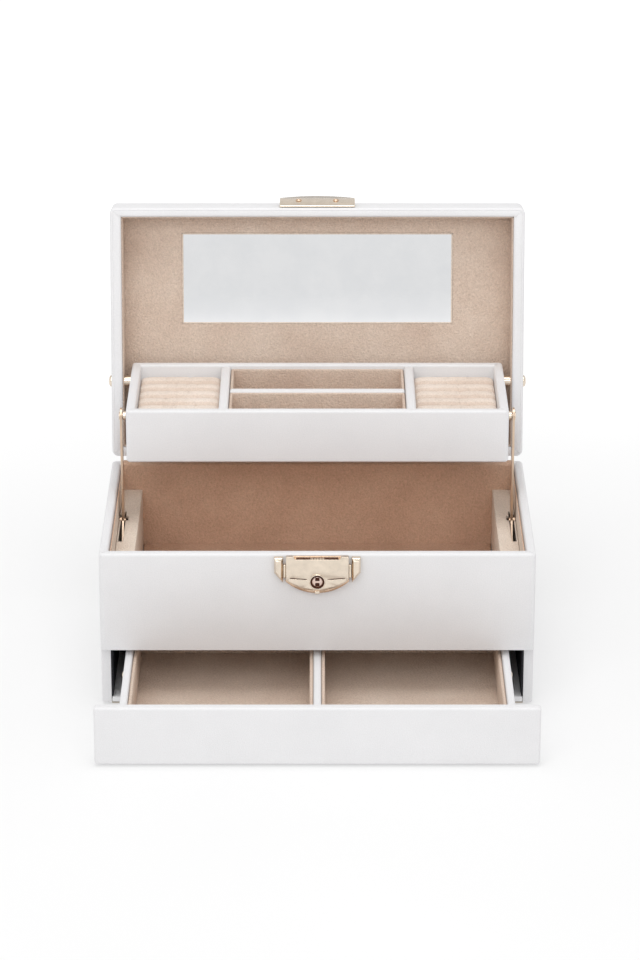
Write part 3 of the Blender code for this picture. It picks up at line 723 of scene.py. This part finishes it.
def make_lock():
    low, high = span("lock_cover_plate")
    key_low, key_high = span("key_barrel")
    key = ((key_low.x + key_high.x) / 2, (key_low.z + key_high.z) / 2)
    top, tall, wide = high.z, high.z - low.z, high.x - low.x
    front, back = low.y, -HALF_D - 0.25
    notch = 1.5
    shoulder = wide / 2 - 3.6
    side_tall = tall - 6.6
    outline = arched(wide, top, side_tall - 1.1, tall - 1.6)
    outline += [
        (wide / 2, top), (shoulder, top), (shoulder - 1.3, top - notch),
        (-shoulder + 1.3, top - notch), (-shoulder, top), (-wide / 2, top),
    ]
    mesh = extruded("lock_cover", outline, front, front + 2.6)
    line = [
        arc_strip("line_left", wide, 1.0, key[1] + 2.2, 0.2, front - 1, front + 0.5, -0.88, -0.33),
        arc_strip("line_right", wide, 1.0, key[1] + 2.2, 0.2, front - 1, front + 0.5, 0.33, 0.88),
    ]
    well = lathe("key_well", [(front - 2, 3.65), (front + 1.6, 3.65)], "Y", key, 48)
    mesh = bevelled(cut(mesh, well, *line), 0.32, 3, 35)
    piece("lock_cover", mesh, "case", GOLD, ["lock_cover_plate"], sharp=18)
    lip = arched(wide + 0.6, top, side_tall, tall)
    lip += [(x, z + 2.6) for x, z in reversed(arched(wide - 0.4, top, side_tall, tall))]
    # The lip round the cover in the darker gold copy: painted shade on the edge.
    piece("lock_lip", bevelled(extruded("lock_lip", lip, back, front + 0.55), 0.3), "case", EDGE_GOLD_SHADE)
    plate = extruded("lock_back_plate", arched(wide - 0.6, top - 0.4, side_tall, tall - 0.6) + [
        (wide / 2 - 0.3, top - 0.6), (-wide / 2 + 0.3, top - 0.6)], back, front + 2.7)
    # Back plate in the darker gold copy: painted shade.
    piece("lock_back_plate", bevelled(plate, 0.25), "case", EDGE_GOLD_SHADE, ["lock_base_plate"])
    # Dark strips set in the two engraved grooves: painted shade in the grooves.
    for side, start, end in (("left", -0.86, -0.35), ("right", 0.35, 0.86)):
        groove_shade = arc_strip(
            f"lock_line_{side}", wide, 1.0, key[1] + 2.2, 0.16, front + 0.12, front + 0.45, start, end,
        )
        piece(f"lock_line_{side}", groove_shade, "case", RECESS_SHADE)
    # A dark box in the slot under the teeth: painted shade.
    slot = rounded_box(
        "lock_slot", (-shoulder + 1.6, front + 0.5, top - 2.25), (shoulder - 1.6, front + 2.5, top - 1.4),
        0.2,
    )
    piece("lock_slot", slot, "case", RECESS_SHADE)
    for index in range(9):
        x = (index - 4) * 0.82
        tooth = rounded_box(
            f"lock_tooth_{index}", (x - 0.22, front + 0.3, top - 1.9), (x + 0.22, front + 2.3, top - 1.0),
            0.12,
        )
        piece(f"lock_tooth_{index}", tooth, "case", GOLD)
    ring = [
        (front + 0.4, 4.25), (front - 0.25, 4.25), (front - 0.45, 4.05), (front - 0.45, 3.75),
        (front + 0.4, 3.6),
    ]
    piece("key_collar", lathe("key_collar", ring, "Y", key, 64), "case", GOLD)
    cup = [(front + 1.5, 3.62), (front + 0.25, 3.62), (front + 0.25, 2.75), (front + 1.45, 2.75)]
    piece("key_shadow", lathe("key_shadow", cup, "Y", key, 48), "case", RECESS_SHADE)
    nib = rounded_box(
        "lock_nib", (-1.3, front - 0.1, top - tall - 0.35), (1.3, front + 1.6, top - tall + 1.3), 0.3,
    )
    piece("lock_nib", nib, "case", GOLD)
    make_barrel(key, front)
    for side, sign in (("left", -1), ("right", 1)):
        make_release(side, sign, top, wide, back)


def make_barrel(key, front):
    """The key barrel's face with its keyway: a slot with a round middle, with painted shade inside."""
    profile = [(front + 1.4, 2.7), (front + 0.1, 2.7), (front - 0.15, 2.45), (front - 0.15, 0.1)]
    mesh = lathe("barrel_face", profile, "Y", key, 48)
    ways = []
    for name, away in (("top", 1), ("bottom", -1)):
        z = key[1] + away * 1.55
        ways.append(
            rounded_box(
                f"way_{name}",
                (key[0] - 1.15, front - 2, z - 0.95), (key[0] + 1.15, front + 1.0, z + 0.95), 0.3,
            ),
        )
    mesh = bevelled(cut(mesh, *ways), 0.12, 2, 45)
    piece("barrel_face", mesh, "key", STEEL_PINK, ["key_barrel"])
    # Dark boxes inside the keyway: painted shade.
    for name, away in (("top", 1), ("bottom", -1)):
        z = key[1] + away * 1.55
        mesh = rounded_box(
            f"keyway_{name}", (key[0] - 1.1, front + 0.15, z - 0.9), (key[0] + 1.1, front + 0.95, z + 0.9),
            0.25,
        )
        piece(f"keyway_{name}", mesh, "key", RECESS_SHADE)


def make_release(side, sign, top, wide, back):
    """A wing-shaped release slide with bevelled facets, and the guide tab beside it."""
    low, high = span(f"release_slide_{side}")
    near, far = (high.x, low.x) if sign < 0 else (low.x, high.x)
    outline = [(near, high.z), (far, high.z), (far, high.z - 8.6), (near, low.z)]
    front = low.y
    inner = []
    centre = (sum(x for x, _ in outline) / 4, sum(z for _, z in outline) / 4)
    for x, z in outline:
        inner.append((centre[0] + (x - centre[0]) * 0.58, centre[1] + (z - centre[1]) * 0.72))
    bm = bmesh.new()
    rings = []
    for points, y in ((outline, back), (outline, front + 1.5), (inner, front)):
        rings.append([bm.verts.new((x, y, z)) for x, z in points])
    for first, second in zip(rings, rings[1:]):
        for i in range(4):
            j = (i + 1) % 4
            bm.faces.new((first[i], first[j], second[j], second[i]))
    bm.faces.new(rings[0])
    bm.faces.new(rings[-1])
    mesh = bevelled(to_mesh(f"release_wing_{side}", bm), 0.22, 3, 15)
    piece(f"release_wing_{side}", mesh, f"release_{side}", GOLD, [f"release_slide_{side}"], sharp=18)
    x0, x1 = sorted((sign * (wide / 2 + 0.1), sign * (wide / 2 + 1.45)))
    tab = rounded_box(f"release_tab_{side}", (x0, back - 2.4, top - 12.5), (x1, back, top - 5.2), 0.35)
    piece(f"release_tab_{side}", tab, "case", GOLD)


# ---------------------------------------------------------------- lid

def make_lid():
    hinge_z = span("lid_front_rail", LID)[0].z
    top = span("lid_top_panel", LID)[1].z
    inner = 5.15
    rim, edge = 1.3, 1.5
    ceiling = span("lid_top_panel", LID)[0].z - 0.15
    profile = [(34.0, ceiling), (inner, ceiling), (inner, hinge_z + rim)]
    profile += [(inset, 2 * hinge_z - z) for inset, z in rounding(inner - rim, hinge_z - rim, rim, 180, 90)]
    profile += [(rim + 0.42, hinge_z), (rim + 0.26, hinge_z + 0.24), (rim + 0.1, hinge_z)]
    profile += [(inset, 2 * hinge_z - z) for inset, z in rounding(rim, hinge_z - rim, rim, 90, 0)]
    seam = top - 3.6
    profile += [(0.0, seam - 0.35), (0.22, seam - 0.12), (0.22, seam + 0.02), (0.0, seam + 0.25)]
    profile += rounding(edge, top - edge, edge, 0, 90, 6)
    profile += [(6.0, top + 0.15), (14.0, top + 0.35), (34.0, top + 0.5)]

    def thicker_sides(p):
        inward = min(HALF_W - abs(p.x), HALF_D - abs(p.y))
        share = min(max((inward - 1.6) / 3.4, 0.0), 1.0)
        below = min(max((ceiling - 2.0 - p.z) / 2.0, 0.0), 1.0)
        return Vector((p.x * (1 - 0.0095 * share * below), p.y, p.z))

    mesh = swept_ring("lid_shell", HALF_W, HALF_D, 3.4, profile, closed=False, caps=True, wave=thicker_sides)
    tools = knuckle_cutters_closed() + groove_cutters("lid_fold", HALF_W, HALF_D, inner, hinge_z, -1)
    mesh = bevelled(cut(mesh, *tools), 0.18, 2, 50)
    nodes = ["lid_top_panel", "lid_front_rail", "lid_back_rail", "lid_side_rail_left", "lid_side_rail_right"]
    piece("lid_shell", mesh, "lid", WHITE, nodes, LID)
    lining = softened("lid_lining", "lid_lining_panel", 0.5, LID)
    piece("lid_lining", lining, "lid", TAN, ["lid_lining_panel"], LID)
    low, high = span("lid_lining_panel", LID)
    thick = 0.75
    profile = [(0.0, low.z - 0.1)]
    foot = hinge_z + 1.9
    rounded = rounding(thick / 2, foot - thick / 2, thick / 2, 0, 180)
    profile += [(inset, 2 * foot - z) for inset, z in rounded]
    profile += [(thick, low.z - 0.1)]
    mesh = swept_ring("lid_wall_lining", high.x - 0.85, high.y + 0.55, 0.9, profile)
    piece("lid_wall_lining", mesh, "lid", TAN, (), LID)
    make_mirror()
    make_strike(hinge_z)
    for side, sign in (("left", -1), ("right", 1)):
        make_tray_rivet(side, sign)


def knuckle_cutters_closed():
    tools = []
    for side in ("left", "right"):
        low, high = span(f"hinge_pin_{side}")
        axis = joint("lid_hinge")["pos_m"]
        tools.append(
            rod_mesh(f"lid_knuckle_{side}", low.x - 0.5, high.x + 0.5, (axis[1] / MM, axis[2] / MM), 2.8),
        )
    return tools


def make_mirror():
    low, high = span("mirror", LID)
    mesh = rounded_box("mirror_pane", low, high, 0.25, 30)
    piece("mirror_pane", mesh, "lid", MIRROR, ["mirror"], LID)
    centre = (0.0, (low.y + high.y) / 2)
    half_x, half_y = (high.x - low.x) / 2, (high.y - low.y) / 2
    z = low.z - 0.05
    profile = [(-0.25, z + 0.3), (-0.25, z - 0.25), (0.05, z - 0.35), (0.5, z - 0.1), (0.5, z + 0.04)]
    mesh = swept_ring("mirror_edge", half_x, half_y, 0.6, profile, centre)
    # The strip round the mirror in the paler suede copy: painted highlight along the mirror's edge.
    piece("mirror_edge", mesh, "lid", TAN_SUEDE_LIT, (), LID)


def make_strike(hinge_z):
    mesh = softened("strike", "strike_plate", 0.38, LID)
    piece("strike", mesh, "lid", GOLD, ["strike_plate"], LID, sharp=18)
    for side, sign in (("left", -1), ("right", 1)):
        x, z = sign * 10.35, hinge_z + 8.2
        face = -HALF_D - 2.9
        mesh = lathe(f"strike_screw_{side}", dome(face, -1, 1.75, 1.3), "Y", (x, z), 32)
        cross = [
            box_mesh("slot_a", (x - 2, face - 3, z - 0.22), (x + 2, face - 0.95, z + 0.22)),
            box_mesh("slot_b", (x - 0.22, face - 3, z - 2), (x + 0.22, face - 0.95, z + 2)),
        ]
        mesh = bevelled(cut(mesh, *cross), 0.06, 1, 45)
        # Strike screws in the darker gold copy: painted shade.
        piece(f"strike_screw_{side}", mesh, "lid", EDGE_GOLD_SHADE, (), LID)


def make_tray_rivet(side, sign):
    low, high = span(f"tray_pivot_rivet_{side}", LID)
    centre = ((low.y + high.y) / 2, (low.z + high.z) / 2)
    wall = HALF_W
    profile = [
        (sign * 104.05, 2.6), (sign * 104.4, 3.0), (sign * 108.3, 3.0), (sign * 108.6, 2.7),
        (sign * 108.6, 1.5),
    ]
    profile += [(sign * (wall + 0.1), 1.5)] + dome(sign * (wall + 0.1), sign, 3.2, 1.7)
    mesh = lathe(f"lid_rivet_{side}", profile, "X", centre)
    piece(f"lid_rivet_{side}", mesh, "lid", GOLD, [f"tray_pivot_rivet_{side}"], LID)


# ---------------------------------------------------------------- tray

def lined_ring(name, body, low, high, z0, z1, thick=SKIN, material=None, puff=0.0):
    """Suede round the four walls of a compartment."""
    profile = [(0.0, z0)] + rounding(
        thick / 2, z1 - thick / 2, thick / 2, 0, 180, 6,
    ) + [(thick + puff, (z0 + z1) / 2)]
    profile += [(thick, z0)]
    centre = ((low[0] + high[0]) / 2, (low[1] + high[1]) / 2)
    mesh = swept_ring(name, (high[0] - low[0]) / 2, (high[1] - low[1]) / 2, 0.9, profile, centre)
    return piece(name, mesh, body, material or TAN)


def make_tray():
    bottom_low, bottom_high = span("tray_bottom")
    top = span("tray_front")[1].z
    half_x = bottom_high.x
    half_y = (bottom_high.y - bottom_low.y) / 2
    centre = (0.0, (bottom_high.y + bottom_low.y) / 2)
    rim = 1.35
    base = bottom_low.z
    profile = [(0.0, base + 0.9)] + rounding(rim, top - rim, rim, 0, 90)
    profile += rounding(BOARD - rim, top - rim, rim, 90, 180) + [
        (BOARD, bottom_high.z + 0.1), (5.4, base + 0.05), (0.9, base),
    ]
    mesh = swept_ring("tray_shell", half_x, half_y, 2.2, profile, centre)
    tools = groove_cutters("tray_fold", half_x, half_y, BOARD, top, 1, centre[1])
    mesh = bevelled(cut(mesh, *tools), 0.15, 2, 50)
    piece(
        "tray_shell", mesh, "tray", WHITE,
        ("tray_front", "tray_back", "tray_side_left", "tray_side_right"),
    )
    mesh = rounded_box(
        "tray_floor", bottom_low + Vector((5.6, 5.6, 0)), bottom_high - Vector((5.6, 5.6, 0)), 0.5, 12,
    )
    piece("tray_floor", mesh, "tray", WHITE, ["tray_bottom"])
    board("tray_rail_left", "tray_divider_left", "tray", WHITE, 1.3)
    board("tray_rail_right", "tray_divider_right", "tray", WHITE, 1.3)
    board("tray_rail_long", "tray_divider_long", "tray", WHITE, 1.3)
    low, high = span("tray_liner")
    mesh = rounded_box("tray_pad", low, high, 0.45, 3.0, crowned(low, high, 0.15))
    pad = piece("tray_pad", mesh, "tray", TAN, ["tray_liner"])
    split_low, split_high = span("tray_divider_long")
    z0, z1 = high.z + 0.2, top - 2.2
    lined_ring("tray_lining_front", "tray", (low.x, low.y - 0.2), (high.x, split_low.y - 0.1), z0, z1, 1.7)
    lined_ring("tray_lining_back", "tray", (low.x, split_high.y + 0.1), (high.x, high.y + 0.2), z0, z1, 1.7)
    for side in ("left", "right"):
        make_rolls(side)


def inflated(mesh, pins, cap, frames=14):
    """Cloth under a little air pressure, in a scratch copy ten times real size.

    cap is the most that a point may move, mm.
    """
    small = 0.01  # scratch metres to a millimetre
    scene = bpy.context.scene
    copy = mesh.copy()
    copy.transform(Matrix.Scale(small, 4))
    scratch = bpy.data.objects.new("scratch_cloth", copy)
    scene.collection.objects.link(scratch)
    scratch.vertex_groups.new(name="pins").add(pins, 1.0, "REPLACE")
    cloth = scratch.modifiers.new("cloth", "CLOTH")
    cloth.settings.quality = 6
    cloth.settings.mass = 0.3
    cloth.settings.tension_stiffness = 9
    cloth.settings.compression_stiffness = 9
    cloth.settings.shear_stiffness = 4
    cloth.settings.bending_stiffness = 0.3
    cloth.settings.shrink_min = -0.05
    cloth.settings.use_pressure = True
    cloth.settings.uniform_pressure_force = 2.5
    cloth.settings.vertex_group_mass = "pins"
    cloth.settings.effector_weights.gravity = 0
    cloth.collision_settings.use_collision = False
    cloth.point_cache.frame_start = 1
    cloth.point_cache.frame_end = frames
    for frame_number in range(1, frames + 1):
        scene.frame_set(frame_number)
    graph = bpy.context.evaluated_depsgraph_get()
    moved = [v.co / small for v in scratch.evaluated_get(graph).data.vertices]
    for vertex, target in zip(mesh.vertices, moved):
        step = target - vertex.co
        if step.length > cap:
            step *= cap / step.length
        vertex.co += step
    bpy.data.objects.remove(scratch)
    bpy.data.meshes.remove(copy)
    scene.frame_set(1)


def roll_section(width, tall, steps):
    """Half of a soft roll seen end on: (across, up) from one crease over the top to the next."""
    points = []
    for i in range(steps + 1):
        a = math.pi * i / steps
        across = -math.cos(a) * width / 2
        up = tall * max(math.sin(a), 0.0) ** 0.85
        points.append((across, up))
    return points


def make_rolls(side):
    """Six velvet rolls side by side: each one swells between its creases and gathers a little at its ends."""
    low, high = span(f"ring_pad_{side}")
    count = ROLLS
    pitch = (high.y - low.y) / count
    crease = high.z - ROLL_DEEP
    length = high.x - low.x
    along = 56
    around = ROLL_STEPS
    bm = bmesh.new()
    grid = []
    for i in range(along + 1):
        t = i / along
        x = low.x + length * t
        end = min(t, 1 - t) * length
        gather = 1 - 0.30 * math.exp(-end / 1.6)
        row = []
        for r in range(count):
            section = roll_section(pitch, high.z - crease, around)
            for k, (across, up) in enumerate(section[:-1] if r < count - 1 else section):
                y = low.y + pitch * (r + 0.5) + across
                full = max(math.sin(math.pi * k / around), 0.0)
                ripple = noise.noise(Vector((x / 6.0, y / 5.0, 7.0 * r))) * 0.08
                ripple += noise.noise(Vector((x / 14.0, r * 3.3, 1.7))) * 0.22
                z = crease + up * gather + ripple * full
                row.append(bm.verts.new((x, y, z)))
        grid.append(row)
    width = len(grid[0])
    for a, b in zip(grid, grid[1:]):
        for k in range(width - 1):
            face = bm.faces.new((a[k], a[k + 1], b[k + 1], b[k]))
            # Faces near each crease get the darker velvet: painted shade.
            face.material_index = 1 if k % around in ROLL_CREASE_SHADE else 0
    floor = []
    for row in grid:
        floor.append([bm.verts.new((v.co.x, v.co.y, low.z)) for v in (row[0], row[-1])])
    for i in range(along):
        bm.faces.new((grid[i][0], grid[i + 1][0], floor[i + 1][0], floor[i][0]))
        bm.faces.new((grid[i][-1], floor[i][1], floor[i + 1][1], grid[i + 1][-1]))
    bm.faces.new([floor[0][0]] + grid[0] + [floor[0][1]])
    bm.faces.new([floor[-1][1]] + grid[-1][::-1] + [floor[-1][0]])
    bm.faces.new([f[0] for f in floor] + [f[1] for f in reversed(floor)])
    bm.verts.index_update()
    pins = [v.index for row in (grid[0], grid[-1]) for v in row] + [v.index for pair in floor for v in pair]
    pins += [row[k].index for row in grid for k in range(0, width, around)]
    mesh = to_mesh(f"ring_rolls_{side}", bm)
    inflated(mesh, pins, ROLL_SWELL)
    for vertex in mesh.vertices:
        vertex.co.y = min(max(vertex.co.y, low.y - 0.1), high.y + 0.1)
    rolls = piece(
        f"ring_rolls_{side}", mesh, "tray", [CREAM, CREASE_SHADE], [f"ring_pad_{side}"], sharp=75,
    )


# ---------------------------------------------------------------- arms

def make_arms():
    for side, sign in (("left", -1), ("right", 1)):
        mesh = softened(f"arm_plate_{side}", f"lift_arm_{side}", 0.22)
        # Arm plate in the darker gold copy: painted shade.
        piece(f"arm_plate_{side}", mesh, f"arm_{side}", ARM_GOLD_SHADED, [f"lift_arm_{side}"], sharp=18)
        low, high = span(f"arm_rivet_{side}")
        centre = ((low.y + high.y) / 2, (low.z + high.z) / 2)
        face = sign * ARM_FACE_X
        profile = [
            (sign * 103.95, 2.0), (sign * 104.2, 2.5), (sign * 105.5, 2.5), (sign * 105.7, 2.2),
            (sign * 105.7, 1.5),
        ]
        profile += [(face, 1.5)] + dome(face, sign, 2.4, 0.55)
        mesh = lathe(f"arm_top_rivet_{side}", profile, "X", centre)
        piece(f"arm_top_rivet_{side}", mesh, f"arm_{side}", GOLD, [f"arm_rivet_{side}"])


# ---------------------------------------------------------------- drawer

def make_drawer():
    board("drawer_face", "drawer_front", "drawer", WHITE, 1.35, cell=10)
    board("drawer_base", "drawer_bottom", "drawer", WHITE, 0.5)
    board("drawer_rear", "drawer_back", "drawer", WHITE, 1.1)
    board("drawer_wall_left", "drawer_side_left", "drawer", WHITE, 1.2)
    board("drawer_wall_right", "drawer_side_right", "drawer", WHITE, 1.2)
    board("drawer_partition", "drawer_divider", "drawer", WHITE, 1.2)
    low, high = span("drawer_liner")
    mesh = rounded_box("drawer_pad", low, high, 0.45, 3.0, crowned(low, high, 0.2))
    pad = piece("drawer_pad", mesh, "drawer", TAN, ["drawer_liner"])
    wall_in = span("drawer_side_right")[0].x - 0.15
    divider = span("drawer_divider")[1].x + 0.1
    z0, z1 = high.z + 0.25, span("drawer_side_left")[1].z - 1.6
    lined_ring("drawer_lining_left", "drawer", (-wall_in, low.y + 0.1), (-divider, high.y + 0.1), z0, z1, 1.9)
    lined_ring("drawer_lining_right", "drawer", (divider, low.y + 0.1), (wall_in, high.y + 0.1), z0, z1, 1.9)
    for side, sign in (("left", -1), ("right", 1)):
        low, high = span(f"glide_button_{side}")
        centre = ((low.y + high.y) / 2, (low.z + high.z) / 2)
        mesh = lathe(f"glide_stud_{side}", dome(sign * 102.1, sign, 2.5, 1.8), "X", centre)
        piece(f"glide_stud_{side}", mesh, "drawer", GOLD, [f"glide_button_{side}"])
        low, high = span(f"drive_pin_{side}")
        centre = ((low.y + high.y) / 2, (low.z + high.z) / 2)
        profile = [
            (sign * 102.1, 3.0), (sign * 103.0, 3.0), (sign * 103.3, 2.6), (sign * 103.3, 1.5),
            (sign * 107.5, 1.5), (sign * 107.8, 1.2),
        ]
        mesh = lathe(f"drive_stud_{side}", profile, "X", centre)
        piece(f"drive_stud_{side}", mesh, "drawer", GOLD, [f"drive_pin_{side}"])


# ---------------------------------------------------------------- studio

def make_floor():
    """A pale sweep, lit from below a little and more so behind the chest."""
    n = Nodes("studio_floor")
    tone = n.noise(3, 2)
    n.link(
        n.ramp(tone, [(0.3, (0.50, 0.50, 0.50)), (0.7, (0.52, 0.52, 0.52))]), n.shader.inputs["Base Color"],
    )
    split = n.add("ShaderNodeSeparateXYZ")
    n.link(n.place, split.inputs["Vector"])
    glow = n.add("ShaderNodeMapRange", interpolation_type="SMOOTHSTEP")
    glow.inputs["From Min"].default_value = 0.0
    glow.inputs["From Max"].default_value = 0.9
    glow.inputs["To Min"].default_value = 0.39
    glow.inputs["To Max"].default_value = 0.64
    n.link(split.outputs["Y"], glow.inputs["Value"])
    n.link(glow.outputs["Result"], n.shader.inputs["Emission Strength"])
    n.set(Roughness=0.9, Specular_IOR_Level=0.1)
    n.shader.inputs["Emission Color"].default_value = (1, 1, 1, 1)
    bm = bmesh.new()
    bmesh.ops.create_grid(bm, x_segments=8, y_segments=8, size=9)
    mesh = bpy.data.meshes.new("studio_floor")
    bm.to_mesh(mesh)
    bm.free()
    mesh.materials.append(n.material)
    floor = bpy.data.objects.new("studio_floor", mesh)
    floor.location.z = -0.0003
    bpy.context.scene.collection.objects.link(floor)


def area(name, at, aim, size, power, color=(1, 1, 1)):
    light = bpy.data.lights.new(name, "AREA")
    light.shape = "RECTANGLE"
    light.size, light.size_y = size
    light.energy = power
    light.color = color
    made = bpy.data.objects.new(name, light)
    made.location = at
    made.rotation_euler = (Vector(aim) - Vector(at)).to_track_quat("-Z", "Y").to_euler()
    bpy.context.scene.collection.objects.link(made)


def make_studio():
    scene = bpy.context.scene
    scene.view_settings.view_transform = "Standard"
    world = bpy.data.worlds.new("studio")
    world.use_nodes = True
    sky = world.node_tree.nodes["Background"]
    sky.inputs["Color"].default_value = (1, 1, 1, 1)
    sky.inputs["Strength"].default_value = 0.76
    scene.world = world
    middle = (0, 0, 0.1)
    area("key", (-0.5, -1.25, 1.15), middle, (0.9, 0.9), 4.0)
    area("front", (0.3, -1.65, 1.08), middle, (1.2, 0.8), 4.4)
    area("top", (0.0, -0.25, 1.6), middle, (1.0, 0.9), 7.0)


def make_camera():
    lens = bpy.data.cameras.new("camera")
    lens.sensor_width = 36.0
    lens.lens = 136.43
    lens.shift_x = 0.00276
    lens.clip_end = 30
    camera = bpy.data.objects.new("camera", lens)
    camera.location = (0, -1.8405, 0.807)
    camera.rotation_euler = (math.radians(90 - 20.908), 0, 0)
    bpy.context.scene.collection.objects.link(camera)
    bpy.context.scene.camera = camera


make_camera()
make_studio()
make_floor()
make_case()
make_lock()
make_lid()
make_tray()
make_arms()
make_drawer()


def corners(bounds):
    return [list(corner) for corner in bounds]
